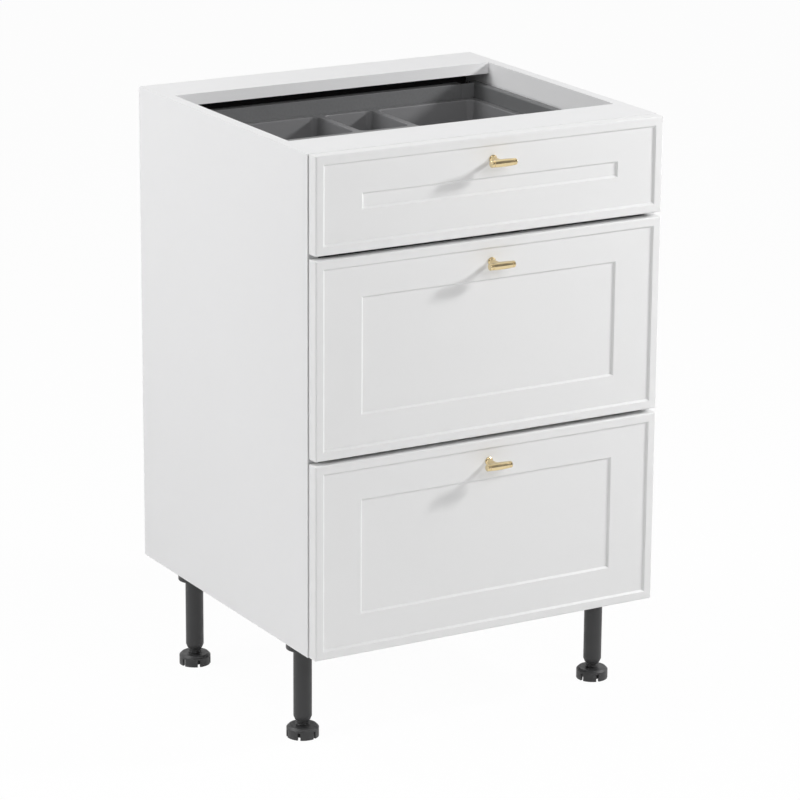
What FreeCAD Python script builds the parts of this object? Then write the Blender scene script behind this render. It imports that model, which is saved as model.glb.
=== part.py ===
import FreeCAD, Part
import math
import os
from FreeCAD import Vector

# Base cabinet with three drawers on adjustable legs, in millimetres.
# x runs to the right, y from the front of the carcass to its back, z up from the floor.
# While the pieces are made, y is 0 at the front edge of the side panels.

# ---- carcass ---------------------------------------------------------------------------------
cabinet_width = 600.0
carcass_height = 768.0
leg_height = 160.0
board = 18.0
rail_width = 90.0
back_thickness = 3.0
back_inset = 15.0            # from the back edge of the boards to the groove of the back panel
strip_web = 2.0              # of the joint strip between the two leaves of the back panel
strip_width = 24.0
strip_flange = 1.2
groove_depth = 8.0
slip = 0.15                  # clearance of a fixed piece in its groove or hole, per side
cam_diameter = 15.0
cam_height = 12.7
cam_distance = 34.0          # from the end of a board to the middle of its cam lock
rail_cam = 25.0              # from the front edge of a rail to its cam lock
bolt_diameter = 6.6
bolt_thread = 5.0
bolt_reach = 11.0            # how far a cam bolt goes into the side panel
dowel_diameter = 8.0
dowel_in_end = 20.0
dowel_in_side = 10.0
system_pitch = 32.0          # spacing of neighbouring holes
dowel_offset = 48.0          # of the bottom panel's cams and dowels from the middle of a leg

# ---- fronts ----------------------------------------------------------------------------------
front_thickness = 20.0
front_gap = 2.0              # between the carcass and the back of the fronts
side_reveal = 1.5
drawer_gap = 7.0             # between one front and the next
top_front_height = 148.0
front_round = 1.2
rim_width = 13.0
panel_inset = 78.5
panel_inset_height = 61.5
step_width = 3.0             # of each bevelled step of the relief
step_depth = 3.0

# ---- handles ---------------------------------------------------------------------------------
handle_drop = 35.0           # from the top edge of a front to the axis of its handle
handle_standoff = 30.0
bar_length = 43.5
bar_radius = 6.0
bar_end_radius = 5.2
rose_radius = 6.4
rose_height = 2.5
rose_ease = 0.8
neck_radius = 3.6
bar_ease = 1.4               # at the ends of the bar
bar_groove = 4.5             # from each end of the bar to its fine groove
bar_groove_depth = 0.5
neck_flare = 1.2             # how much wider the neck is at the rose and at the bar
handle_thread = 4.0
handle_screw_reach = 18.0
handle_screw_head = 2.4

# ---- drawer boxes ----------------------------------------------------------------------------
box_rise = 23.0              # from the lower edge of a front to the underside of its box
side_height = 91.0
deep_height = 200.0          # of the back of a deep drawer
rod_drop = 14.0              # from the top of a deep back to the axis of its rods
rod_flange_radius = 7.5
rod_flange_height = 3.0
spigot_radius = 3.5
side_air = 5.0               # between the carcass and the drawer side
side_thickness = 13.0
sheet = 1.2
side_bend = 1.0              # chamfer where the sheet is folded at the top
side_lip = 6.7               # width of the lip at the lower end of the outer skin
base_thickness = 16.0
base_flange = 20.0
box_length = 490.0
back_air = 41.7              # from the back of a drawer box to the groove of the back panel
box_back_thickness = 16.0
bracket_width = 25.0
bracket_sheet = 1.5
bracket_tongue = 25.0
tab_width = 14.0
tab_height = 50.0
tab_screw_inset = 8.4        # from the side's inner face
tab_screw_margin = 12.5      # from either end of a tab
base_screw_margin = 49.0     # from either end of the base
back_screw_margin = 14.0     # from the lower edge and the top of the back
rod_radius = 5.0

# ---- runners, as sections seen from the front: u from the side panel, w up from the box -------
member_sheet = 1.5
middle_sheet = 1.8
running_gap = 0.35
outer_low, outer_high, outer_reach = 2.0, 36.0, 10.5
middle_web, middle_reach = 3.2, 14.0
inner_reach = 6.2
lip_height = 38.0            # of the drawer side's outer skin above its underside
outer_start = 3.0            # from the front edge of the side panel to the cabinet member
middle_setback = 25.0        # of the middle member, from either end of the box
inner_setback = 10.0         # of the drawer member, from either end of the box

# ---- tray ------------------------------------------------------------------------------------
tray_height = 50.0
tray_air = 0.3
tray_wall = 2.0
tray_rim = 12.0
tray_divider = 12.0
tray_lip = 9.0
tray_divider_left = -28.0    # middle of the divider between the left and middle pockets
tray_divider_right = 70.0
tray_rear_length = 127.0     # of the short pockets at the back
tray_draft = 4.0             # how much narrower a pocket is at its floor, per side
tray_corner = 10.0
tray_edge = 1.5
whisker = 0.01               # keeps the faces of a cut out of the faces of the tray

# ---- legs ------------------------------------------------------------------------------------
leg_from_side = 38.0
leg_from_front = 86.0
leg_from_back = 100.0
socket_radius = 25.5
socket_height = 4.0          # thickness of the plate under the bottom panel
socket_skirt = 18.0          # height of the rim round the plate
socket_wall = 1.8
socket_ease = 1.0
spigot_length = 22.0
spigot_wall = 3.0
tube_radius = 14.25
tube_bore = 10.9
tube_chamfer = (2.4, 6.0)    # inwards and upwards
foot_radius = 25.0
foot_height = 18.0
foot_chamfer = 3.5
foot_wall = 4.0
foot_hollow = 13.0
hub_wall = 4.4
hub_lift = 1.0               # of the hub above the floor
foot_slots = 6
slot_width = 4.0
slot_height = 11.5
stem_radius = 10.6
stem_length = 52.0
stem_ease = 1.5
stem_bare = 9.0              # visible between the foot and the tube
slot_turns = {"front_left": 48.7, "front_right": 19.0, "rear_left": 18.5, "rear_right": 40.0}

# ---- screws ----------------------------------------------------------------------------------
screw_radius = 1.9
screw_head_radius = 3.6
screw_head_height = 1.2
screw_length = 12.0
screw_slip = 0.1
screw_end_room = 0.5         # between a screw's tip and the end of its hole
past = 1.0                   # how far a cut runs out past the face that it opens
buffer_radius = 4.0

# ---- worked out ------------------------------------------------------------------------------
half_width = cabinet_width / 2
inner_half = half_width - board
box_back = box_length
groove_front = box_back + back_air
groove_back = groove_front + back_thickness + 2 * slip
carcass_depth = groove_back + back_inset
floor_board = leg_height                      # underside of the bottom panel
bottom_top = floor_board + board
carcass_top = leg_height + carcass_height
rail_under = carcass_top - board
front_back = -front_gap
front_face = front_back - front_thickness
frame_face = front_face + step_depth
front_half = half_width - side_reveal
deep_front_height = (carcass_height - top_front_height - 2 * drawer_gap) / 2
wall_inner = side_air + side_thickness        # u of a drawer side's inner face
wall_x = inner_half - wall_inner              # x of the right drawer side's inner face
base_under = sheet
base_top = sheet + base_thickness
box_back_front = box_back - box_back_thickness
outer_length = box_length
middle_length = box_length - 2 * middle_setback
inner_length = box_length - 2 * inner_setback
bar_axis = frame_face - handle_standoff
SIDES = {"left": -1, "right": 1}

parts = {}


def box(x0, x1, y0, y1, z0, z1):
    """Block between two corners given in any order."""
    low = Vector(min(x0, x1), min(y0, y1), min(z0, z1))
    return Part.makeBox(abs(x1 - x0), abs(y1 - y0), abs(z1 - z0), low)


def rod(radius, start, direction, length):
    return Part.makeCylinder(radius, length, Vector(*start), Vector(*direction))


def prism(points, direction):
    """Closed outline of straight edges, swept along a vector."""
    corners = [Vector(*point) for point in points]
    outline = Part.makePolygon(corners + corners[:1])
    return Part.Face(outline).extrude(Vector(*direction))


def turned(profile, centre, axis):
    """Solid turned from (radius, height) points about an axis through a centre."""
    corners = [Vector(radius, 0, height) for radius, height in profile]
    face = Part.Face(Part.makePolygon(corners + corners[:1]))
    solid = face.revolve(Vector(0, 0, 0), Vector(0, 0, 1), 360)
    turn = FreeCAD.Rotation(Vector(0, 0, 1), Vector(*axis))
    solid.Placement = FreeCAD.Placement(Vector(*centre), turn)
    return solid


def rounded_outline(x0, x1, y0, y1, z, radius):
    """Flat rectangle with four round corners."""
    bend = radius * (1 - math.sqrt(0.5))
    edges = []
    corners = [
        ((x0, y0 + radius), (x0 + bend, y0 + bend), (x0 + radius, y0), (x1 - radius, y0)),
        ((x1 - radius, y0), (x1 - bend, y0 + bend), (x1, y0 + radius), (x1, y1 - radius)),
        ((x1, y1 - radius), (x1 - bend, y1 - bend), (x1 - radius, y1), (x0 + radius, y1)),
        ((x0 + radius, y1), (x0 + bend, y1 - bend), (x0, y1 - radius), (x0, y0 + radius)),
    ]
    for start, middle, end, following in corners:
        a, b, c, d = [Vector(x, y, z) for x, y in (start, middle, end, following)]
        edges.append(Part.Arc(a, b, c).toShape())
        edges.append(Part.makeLine(c, d))
    return Part.Wire(edges)


def sunk_step(half, low, high, inset_side, inset_height, mouth, depth):
    """Recess in a front with bevelled walls: a frustum from its mouth to its floor."""
    wires = []
    for y, spread in ((mouth - step_depth, -step_width), (mouth + depth, step_width)):
        left = -half + inset_side + spread
        right = half - inset_side - spread
        under = low + inset_height + spread
        over = high - inset_height - spread
        corners = [(left, y, under), (right, y, under), (right, y, over), (left, y, over)]
        corners = [Vector(*corner) for corner in corners]
        wires.append(Part.makePolygon(corners + corners[:1]))
    return Part.makeLoft(wires, True, True)


def screw(tip, direction, length=screw_length):
    """Screw with a flat head that bears at `tip`, pointing along a direction."""
    along = Vector(*direction)
    head_start = Vector(*tip) - along * screw_head_height
    head = Part.makeCylinder(screw_head_radius, screw_head_height, head_start, along)
    shank = Part.makeCylinder(screw_radius, length, Vector(*tip), along)
    return head.fuse(shank).removeSplitter()


def screw_hole(tip, direction, length=screw_length):
    along = Vector(*direction)
    return Part.makeCylinder(screw_radius + screw_slip, length + screw_end_room, Vector(*tip), along)


def cut_all(shape, tools):
    return shape.cut(Part.makeCompound(tools)) if tools else shape


def add(name, *shapes):
    """Keep a piece, or a group of like pieces, under its name."""
    solids = [solid for shape in shapes for solid in shape.Solids]
    parts[name] = solids[0] if len(solids) == 1 else Part.makeCompound(solids)


# ---- drawers, from the lowest up -------------------------------------------------------------
class Drawer:
    def __init__(self, name, front_low, front_height, back_height):
        self.name = name
        self.low = front_low
        self.high = front_low + front_height
        self.box = front_low + box_rise
        self.back_height = back_height
        self.deep = back_height > side_height
        self.handle = self.high - handle_drop


bottom_front_low = floor_board
middle_front_low = bottom_front_low + deep_front_height + drawer_gap
top_front_low = middle_front_low + deep_front_height + drawer_gap
DRAWERS = [
    Drawer("bottom", bottom_front_low, deep_front_height, deep_height),
    Drawer("middle", middle_front_low, deep_front_height, deep_height),
    Drawer("top", top_front_low, top_front_height, side_height),
]

# ---- places of the fastenings ----------------------------------------------------------------
rear_rail_front = carcass_depth - rail_width
rear_leg = carcass_depth - leg_from_back
joints = []                  # underside of the board, y of the cam lock, y of the dowel
joints.append((rail_under, rail_cam, rail_cam + system_pitch))
joints.append((rail_under, rear_rail_front + rail_cam, rear_rail_front + rail_cam + system_pitch))
joints.append((floor_board, leg_from_front - dowel_offset, leg_from_front + dowel_offset))
joints.append((floor_board, rear_leg - dowel_offset, rear_leg + dowel_offset))

legs = {}
for place, sign in SIDES.items():
    x = sign * (half_width - leg_from_side)
    legs["front_" + place] = (x, leg_from_front)
    legs["rear_" + place] = (x, rear_leg)
leg_screw_radius = (tube_radius + socket_radius - socket_wall) / 2
leg_screws = []
for place, (x, y) in legs.items():
    inward = -1 if x > 0 else 1
    for dx, dy in ((0, leg_screw_radius), (inward * leg_screw_radius, 0), (0, -leg_screw_radius)):
        leg_screws.append((x + dx, y + dy, floor_board - socket_height))

runner_screw_places = (outer_start + system_pitch, outer_start + outer_length / 2,
                       outer_start + outer_length - system_pitch)
runner_screw_height = (outer_low + outer_high) / 2


# ---- carcass boards --------------------------------------------------------------------------
def cam_pieces(sign, under, y):
    """Cam lock, cam bolt and the room that they need, at one end of a board."""
    end = sign * inner_half
    middle = sign * (inner_half - cam_distance)
    height = under + board / 2
    drum = rod(cam_diameter / 2, (middle, y, under + slip), (0, 0, 1), cam_height)
    bore = rod(bolt_diameter / 2 + slip, (middle, y, height), (sign, 0, 0), cam_diameter)
    shank_start = (middle + sign * slip, y, height)
    shank = rod(bolt_diameter / 2, shank_start, (sign, 0, 0), cam_distance - slip)
    thread = rod(bolt_thread / 2, (end, y, height), (sign, 0, 0), bolt_reach)
    housing = rod(cam_diameter / 2 + slip, (middle, y, under - past), (0, 0, 1), cam_height + past + 2 * slip)
    channel = rod(bolt_diameter / 2 + slip, (middle, y, height), (sign, 0, 0), cam_distance + past)
    socket_start = (end - sign * past, y, height)
    socket_length = bolt_reach + past + slip
    socket = rod(bolt_thread / 2 + slip / 2, socket_start, (sign, 0, 0), socket_length)
    return drum.cut(bore), shank.fuse(thread).removeSplitter(), [housing, channel], socket


def dowel_pieces(sign, under, y):
    start = sign * (inner_half - dowel_in_end)
    height = under + board / 2
    dowel = rod(dowel_diameter / 2, (start, y, height), (sign, 0, 0), dowel_in_end + dowel_in_side)
    hole_start = (start - sign * 2 * slip, y, height)
    hole_length = dowel_in_end + dowel_in_side + 4 * slip
    return dowel, rod(dowel_diameter / 2 + slip / 2, hole_start, (sign, 0, 0), hole_length)


def back_groove(x0, x1, z0, z1):
    return box(x0, x1, groove_front, groove_back, z0, z1)


def make_carcass():
    cams, bolts, dowels = [], [], []
    side_cuts = {"left": [], "right": []}
    board_cuts = []
    for under, cam_y, dowel_y in joints:
        for place, sign in SIDES.items():
            cam, bolt, housings, socket = cam_pieces(sign, under, cam_y)
            dowel, dowel_hole = dowel_pieces(sign, under, dowel_y)
            cams.append(cam)
            bolts.append(bolt)
            dowels.append(dowel)
            board_cuts += housings + [dowel_hole]
            side_cuts[place] += [socket, dowel_hole]
    groove_low = bottom_top - groove_depth
    groove_high = rail_under + groove_depth
    for place, sign in SIDES.items():
        panel = box(sign * inner_half, sign * half_width, 0, carcass_depth, floor_board, carcass_top)
        cuts = side_cuts[place]
        groove_bottom = sign * (inner_half + groove_depth)
        cuts.append(back_groove(sign * inner_half, groove_bottom, groove_low, groove_high))
        for drawer in DRAWERS:
            for y in runner_screw_places:
                tip = (sign * (inner_half - member_sheet), y, drawer.box + runner_screw_height)
                cuts.append(screw_hole(tip, (sign, 0, 0)))
        add("side_panel_" + place, cut_all(panel, cuts))
    bottom = box(-inner_half, inner_half, 0, carcass_depth, floor_board, bottom_top)
    bottom_cuts = [back_groove(-inner_half, inner_half, groove_low, bottom_top)]
    bottom_cuts += [screw_hole(tip, (0, 0, 1)) for tip in leg_screws]
    add("bottom_panel", cut_all(bottom, board_cuts + bottom_cuts))
    front_rail = box(-inner_half, inner_half, 0, rail_width, rail_under, carcass_top)
    add("front_top_rail", cut_all(front_rail, board_cuts))
    rear_rail = box(-inner_half, inner_half, rear_rail_front, carcass_depth, rail_under, carcass_top)
    rear_groove = back_groove(-inner_half, inner_half, rail_under, groove_high)
    add("rear_top_rail", cut_all(rear_rail, board_cuts + [rear_groove]))
    add("cam_locks", *cams)
    add("cam_bolts", *bolts)
    add("wooden_dowels", *dowels)


# ---- back panel ------------------------------------------------------------------------------
back_front = groove_front + slip


def make_back():
    tongue = groove_depth - slip
    for place, sign in SIDES.items():
        leaf = box(sign * (strip_web / 2 + slip), sign * (inner_half + tongue), back_front,
                   back_front + back_thickness, bottom_top - tongue, rail_under + tongue)
        add("back_panel_" + place, leaf)
    front = groove_front
    back = groove_back
    web, wide = strip_web / 2, strip_width / 2
    section = [
        (-wide, front - strip_flange), (wide, front - strip_flange), (wide, front), (web, front),
        (web, back), (wide, back), (wide, back + strip_flange), (-wide, back + strip_flange),
        (-wide, back), (-web, back), (-web, front), (-wide, front),
    ]
    low = bottom_top
    points = [(x, y, low) for x, y in section]
    add("back_joint_strip", prism(points, (0, 0, rail_under - low)))


# ---- fronts and handles ----------------------------------------------------------------------
def make_front(drawer):
    """Board with eased edges, a bevelled step inside its rim and a second one round its panel."""
    body = box(-front_half, front_half, front_face, front_back, drawer.low, drawer.high)
    face_edges = [edge for edge in body.Edges if edge.BoundBox.YMax < front_face + 0.1]
    body = body.makeFillet(front_round, face_edges)
    frame = sunk_step(front_half, drawer.low, drawer.high, rim_width, rim_width, front_face, step_depth)
    panel = sunk_step(front_half, drawer.low, drawer.high, panel_inset, panel_inset_height, frame_face,
                      step_depth)
    screw_start = (0, front_face - past, drawer.handle)
    cuts = [rod(handle_thread / 2 + slip, screw_start, (0, 1, 0), front_thickness + 2 * past)]
    cuts += [screw_hole(tip, (0, -1, 0)) for tip in tab_screws(drawer)]
    if drawer.deep:
        cuts += [rod_spigot(drawer, sign, slip / 2) for sign in SIDES.values()]
    add("front_" + drawer.name, cut_all(body, [frame, panel] + cuts))


def bar_profile():
    """Half outline of the bar: slightly barrelled, a fine groove near each end, eased ends."""
    half = bar_length / 2
    ring = -half + bar_groove
    cut = bar_groove_depth
    outline = [(0, -half), (bar_end_radius - bar_ease, -half), (bar_end_radius, -half + bar_ease)]
    outline += [(bar_end_radius, ring), (bar_end_radius - cut, ring + cut)]
    outline += [(bar_end_radius, ring + 2 * cut), (bar_radius, -half / 3)]
    mirrored = [(radius, -height) for radius, height in reversed(outline)]
    return outline + mirrored


def post_profile():
    """Rose, waisted neck and a head that meets the bar."""
    reach = handle_standoff
    flare = neck_radius + neck_flare
    bead = rose_height - rose_ease
    return [
        (0, 0), (rose_radius, 0), (rose_radius, bead), (rose_radius - rose_ease, rose_height),
        (flare, rose_height + rose_ease), (neck_radius, rose_height + neck_radius),
        (neck_radius, reach - 2 * bar_radius), (flare, reach - bar_radius), (flare, reach), (0, reach),
    ]


def make_handle(drawer):
    bar = turned(bar_profile(), (0, bar_axis, drawer.handle), (1, 0, 0))
    post = turned(post_profile(), (0, frame_face, drawer.handle), (0, -1, 0))
    hole_start = (0, frame_face + past, drawer.handle)
    hole_length = handle_screw_reach + 2 * past
    hole = rod(handle_thread / 2 + slip / 2, hole_start, (0, -1, 0), hole_length)
    add("handle_bar_" + drawer.name, bar)
    add("handle_post_" + drawer.name, post.cut(bar).cut(hole))


# ---- drawer boxes ----------------------------------------------------------------------------
def side_section():
    """Folded steel side: inner skin, cap, outer skin with a lip, and the flange under the base."""
    inner, outer, tip = wall_inner, side_air, wall_inner + base_flange
    high, edge = side_height, side_bend
    lip = side_air + side_lip
    return [
        (tip, 0), (inner - sheet, 0), (inner - sheet, high - sheet), (outer + sheet, high - sheet),
        (outer + sheet, lip_height + sheet), (lip, lip_height + sheet), (lip, lip_height),
        (outer, lip_height), (outer, high - edge), (outer + edge, high), (inner - edge, high),
        (inner, high - edge), (inner, sheet), (tip, sheet),
    ]


def channel_section(web_u, reach_u, low, high, thickness):
    """C section with its web at web_u and its flanges out to reach_u."""
    inside = web_u + math.copysign(thickness, reach_u - web_u)
    return [
        (web_u, low), (reach_u, low), (reach_u, low + thickness), (inside, low + thickness),
        (inside, high - thickness), (reach_u, high - thickness), (reach_u, high), (web_u, high),
    ]


def along_side(section, sign, drawer, start, length):
    """Section of (u, w) points on one side of a drawer, swept backwards."""
    points = [(sign * (inner_half - u), start, drawer.box + w) for u, w in section]
    return prism(points, (0, length, 0))


def tab_screws(drawer):
    """Where the screws that hold the front bear on the tabs."""
    x = wall_x - tab_screw_inset
    low = drawer.box + base_top
    heights = (low + tab_screw_margin, low + tab_height - tab_screw_margin)
    return [(sign * x, front_back + sheet, z) for sign in SIDES.values() for z in heights]


def base_screws(drawer):
    x = wall_x - base_flange / 2
    places = (base_screw_margin, box_length / 2, box_length - base_screw_margin)
    return [(sign * x, y, drawer.box) for sign in SIDES.values() for y in places]


def back_screws(drawer):
    x = wall_x - bracket_width - bracket_tongue / 2
    low = drawer.box + base_top + back_screw_margin
    heights = (low, drawer.box + drawer.back_height - back_screw_margin)
    return [(sign * x, box_back + slip + bracket_sheet, z) for sign in SIDES.values() for z in heights]


def make_box(drawer):
    flange_holes = [screw_hole(tip, (0, 0, 1)) for tip in base_screws(drawer)]
    tab_holes = [screw_hole(tip, (0, -1, 0)) for tip in tab_screws(drawer)]
    for place, sign in SIDES.items():
        wall = along_side(side_section(), sign, drawer, front_back, box_length - front_back)
        tab_low = drawer.box + base_top
        tab = box(sign * (wall_x + sheet), sign * (wall_x - tab_width), front_back, front_back + sheet,
                  tab_low, tab_low + tab_height)
        wall = wall.fuse(tab).removeSplitter()
        add("drawer_side_%s_%s" % (place, drawer.name), cut_all(wall, flange_holes + tab_holes))
    base_half = wall_x - slip
    base = box(-base_half, base_half, 0, box_length, drawer.box + base_under, drawer.box + base_top)
    add("drawer_base_" + drawer.name, cut_all(base, flange_holes))
    back_half = wall_x - bracket_width
    back_low = drawer.box + base_top
    back = box(-back_half, back_half, box_back_front, box_back, back_low, drawer.box + drawer.back_height)
    back_holes = [screw_hole(tip, (0, -1, 0)) for tip in back_screws(drawer)]
    add("drawer_back_" + drawer.name, cut_all(back, back_holes))
    brackets = [corner_bracket(drawer, sign, back_holes) for sign in SIDES.values()]
    add("corner_brackets_" + drawer.name, *brackets)


def corner_bracket(drawer, sign, holes):
    """Folded sheet that joins the back to a side: face, leg on the side, tongue behind the back."""
    t = bracket_sheet
    face = box_back_front
    behind = box_back + slip
    end = -bracket_width + slip
    tongue = -bracket_width - bracket_tongue
    section = [
        (end, face), (0, face), (0, box_back - t), (-t, box_back - t), (-t, face + t), (end + t, face + t),
        (end + t, behind + t), (tongue, behind + t), (tongue, behind), (end, behind),
    ]
    low = drawer.box + base_top
    points = [(sign * (wall_x + x), y, low) for x, y in section]
    sheet_piece = prism(points, (0, 0, drawer.box + drawer.back_height - low))
    return cut_all(sheet_piece, holes)


def make_runners(drawer):
    middle_low = outer_low + member_sheet + running_gap
    middle_high = outer_high - member_sheet - running_gap
    inner_low = middle_low + middle_sheet + running_gap
    inner_high = middle_high - middle_sheet - running_gap
    outer = channel_section(0, outer_reach, outer_low, outer_high, member_sheet)
    middle = channel_section(middle_web, middle_reach, middle_low, middle_high, middle_sheet)
    inner = channel_section(wall_inner - sheet, inner_reach, inner_low, inner_high, member_sheet)
    holes = [screw_hole(tip, (sign, 0, 0)) for tip, sign in runner_screws(drawer)]
    outers = [cut_all(along_side(outer, sign, drawer, outer_start, outer_length), holes)
              for sign in SIDES.values()]
    middles = [along_side(middle, sign, drawer, middle_setback, middle_length) for sign in SIDES.values()]
    inners = [along_side(inner, sign, drawer, inner_setback, inner_length) for sign in SIDES.values()]
    add("middle_members_" + drawer.name, *middles)
    add("drawer_members_" + drawer.name, *inners)
    return outers


def runner_screws(drawer):
    height = drawer.box + runner_screw_height
    return [((sign * (inner_half - member_sheet), y, height), sign)
            for sign in SIDES.values() for y in runner_screw_places]


def rod_spigot(drawer, sign, grow=0.0):
    z = drawer.box + deep_height - rod_drop
    depth = front_thickness / 2
    start = (sign * (wall_x - rod_radius), front_back - depth - grow, z)
    return rod(spigot_radius + grow, start, (0, 1, 0), depth + grow)


def make_rods(drawer):
    """Gallery rods of a deep drawer: flange and spigot at the front, butted on the bracket."""
    rods = []
    for sign in SIDES.values():
        x = sign * (wall_x - rod_radius)
        z = drawer.box + deep_height - rod_drop
        flange = rod(rod_flange_radius, (x, front_back, z), (0, 1, 0), rod_flange_height)
        shaft = rod(rod_radius, (x, front_back, z), (0, 1, 0), box_back_front - front_back)
        rods.append(shaft.fuse([flange, rod_spigot(drawer, sign)]).removeSplitter())
    add("gallery_rods_" + drawer.name, *rods)


def make_box_screws(drawer):
    screws = [screw(tip, (0, 0, 1)) for tip in base_screws(drawer)]
    screws += [screw(tip, (0, -1, 0)) for tip in tab_screws(drawer) + back_screws(drawer)]
    length = front_back - frame_face + handle_screw_reach
    start = (0, front_back, drawer.handle)
    shank = rod(handle_thread / 2, start, (0, -1, 0), length)
    head = rod(screw_head_radius, start, (0, 1, 0), handle_screw_head)
    screws.append(shank.fuse(head).removeSplitter())
    add("drawer_screws_" + drawer.name, *screws)


# ---- tray ------------------------------------------------------------------------------------
def tray_pockets():
    """Mouths of the pockets as (x0, x1, y0, y1)."""
    half = wall_x - tray_air - tray_rim
    front = tray_air + front_gap + tray_rim
    back = box_back_front - tray_air - tray_rim
    gap = tray_divider / 2
    split = back - tray_rear_length
    left_end = tray_divider_left - gap
    long_width = (left_end + half - tray_divider) / 2
    return [
        (-half, left_end, split, back),
        (tray_divider_left + gap, tray_divider_right - gap, split, back),
        (tray_divider_right + gap, half, front, back),
        (-half, -half + long_width, front, split - tray_divider),
        (left_end - long_width, left_end, front, split - tray_divider),
        (tray_divider_left + gap, tray_divider_right - gap, front, split - tray_divider),
    ]


def pocket_solid(mouth, top, floor, grow):
    """Drafted well with round corners; grow makes it the outside of the moulded wall."""
    x0, x1, y0, y1 = mouth
    wires = []
    for z, spread in ((top, grow), (floor, grow - tray_draft)):
        corner = tray_corner + spread
        wires.append(rounded_outline(x0 - spread, x1 + spread, y0 - spread, y1 + spread, z, corner))
    return Part.makeLoft(wires, True, True)


def make_tray(drawer):
    low = drawer.box + base_top
    top = low + tray_height
    half = wall_x - tray_air
    front = front_gap + tray_air
    back = box_back_front - tray_air
    shell = box(-half, half, front, back, top - tray_wall, top)
    skirt = box(-half, half, front, back, top - tray_lip, top)
    w = tray_wall
    skirt = skirt.cut(box(-half + w, half - w, front + w, back - w, top - tray_lip - past, top + past))
    mouths = tray_pockets()
    walls = [pocket_solid(mouth, top, low, tray_wall) for mouth in mouths]
    shell = shell.fuse([skirt] + walls)
    wells = [pocket_solid(mouth, top + whisker, low + tray_wall, 0) for mouth in mouths]
    flares = [pocket_flare(mouth, top) for mouth in mouths]
    shell = cut_all(shell, wells).cut(Part.makeCompound(flares))
    add("cutlery_tray", shell)


def pocket_flare(mouth, top):
    """Eased edge of a pocket's mouth."""
    x0, x1, y0, y1 = mouth
    wires = []
    for z, spread in ((top + 2 * whisker, tray_edge), (top - tray_edge, -5 * whisker)):
        corner = tray_corner + spread
        wires.append(rounded_outline(x0 - spread, x1 + spread, y0 - spread, y1 + spread, z, corner))
    return Part.makeLoft(wires, True, True)


# ---- legs ------------------------------------------------------------------------------------
def make_legs():
    sockets, tubes = [], []
    flange_low = floor_board - socket_height
    tube_low = foot_height + stem_bare
    spigot = tube_bore - slip
    hollow = spigot - spigot_wall
    inward, upward = tube_chamfer
    rim_low = floor_board - socket_skirt
    rim_inside = socket_radius - socket_wall
    holes = [screw_hole(tip, (0, 0, 1)) for tip in leg_screws]
    for place, (x, y) in legs.items():
        socket = turned([
            (0, floor_board), (socket_radius, floor_board), (socket_radius, rim_low + socket_ease),
            (socket_radius - socket_ease, rim_low), (rim_inside, rim_low), (rim_inside, flange_low),
            (spigot, flange_low),
            (spigot, flange_low - spigot_length), (hollow, flange_low - spigot_length),
            (hollow, flange_low), (0, flange_low),
        ], (x, y, 0), (0, 0, 1))
        sockets.append(cut_all(socket, holes))
        tubes.append(turned([
            (tube_bore, tube_low), (tube_radius - inward, tube_low), (tube_radius, tube_low + upward),
            (tube_radius, flange_low), (tube_bore, flange_low),
        ], (x, y, 0), (0, 0, 1)))
        make_foot(place, x, y)
    add("leg_sockets", *sockets)
    add("leg_tubes", *tubes)
    add("leg_screws", *[screw(tip, (0, 0, 1)) for tip in leg_screws])


def make_foot(place, x, y):
    """Hollow foot disc with a hub, a bevelled shoulder, rim slots and its threaded stem."""
    inside = foot_radius - foot_wall
    hub = stem_radius + hub_wall
    foot = turned([
        (0, hub_lift), (hub, hub_lift), (hub, foot_hollow), (inside, foot_hollow), (inside, 0),
        (foot_radius, 0),
        (foot_radius, foot_height - foot_chamfer), (foot_radius - foot_chamfer, foot_height),
        (stem_radius, foot_height), (stem_radius, foot_height + stem_length - stem_ease),
        (stem_radius - stem_ease, foot_height + stem_length), (0, foot_height + stem_length),
    ], (x, y, 0), (0, 0, 1))
    slots = []
    for turn in range(foot_slots):
        slot = box(inside - past, foot_radius + past, -slot_width / 2, slot_width / 2, -past, slot_height)
        slot.rotate(Vector(0, 0, 0), Vector(0, 0, 1), slot_turns[place] + turn * 360 / foot_slots)
        slot.translate(Vector(x, y, 0))
        slots.append(slot)
    add("foot_" + place, cut_all(foot, slots))


def make_buffers():
    """Small pads on the front edges of the side panels, one near each top corner of a front."""
    pads = []
    for drawer in DRAWERS:
        for sign in SIDES.values():
            centre = (sign * (half_width - board / 2), front_back, drawer.high - system_pitch)
            pads.append(rod(buffer_radius, centre, (0, 1, 0), front_gap))
    add("buffer_pads", *pads)


# ---- everything ------------------------------------------------------------------------------
make_carcass()
make_back()
make_legs()
make_buffers()
cabinet_members = []
for drawer in DRAWERS:
    make_front(drawer)
    make_handle(drawer)
    make_box(drawer)
    make_box_screws(drawer)
    cabinet_members += make_runners(drawer)
    if drawer.deep:
        make_rods(drawer)
add("cabinet_members", *cabinet_members)
screw_places = [place for drawer in DRAWERS for place in runner_screws(drawer)]
add("runner_screws", *[screw(tip, (sign, 0, 0)) for tip, sign in screw_places])
make_tray(DRAWERS[-1])

# The origin is on the floor, in the middle of the whole object from its handles to its back.
frontmost = bar_axis - bar_radius
shift = Vector(0, -(frontmost + carcass_depth) / 2, 0)
os.makedirs("parts", exist_ok=True)
for name, shape in sorted(parts.items()):
    shape.translate(shift)
    shape.exportStep("parts/%s.step" % name)
print("origin shift", shift.y, "pieces", len(parts))
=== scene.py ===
import math

import bmesh
import bpy
import numpy as np
from bpy.props import FloatProperty, FloatVectorProperty, IntProperty, PointerProperty
from bpy.types import Operator, Panel, PropertyGroup
from mathutils import Matrix, Vector
from mathutils.geometry import delaunay_2d_cdt


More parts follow.
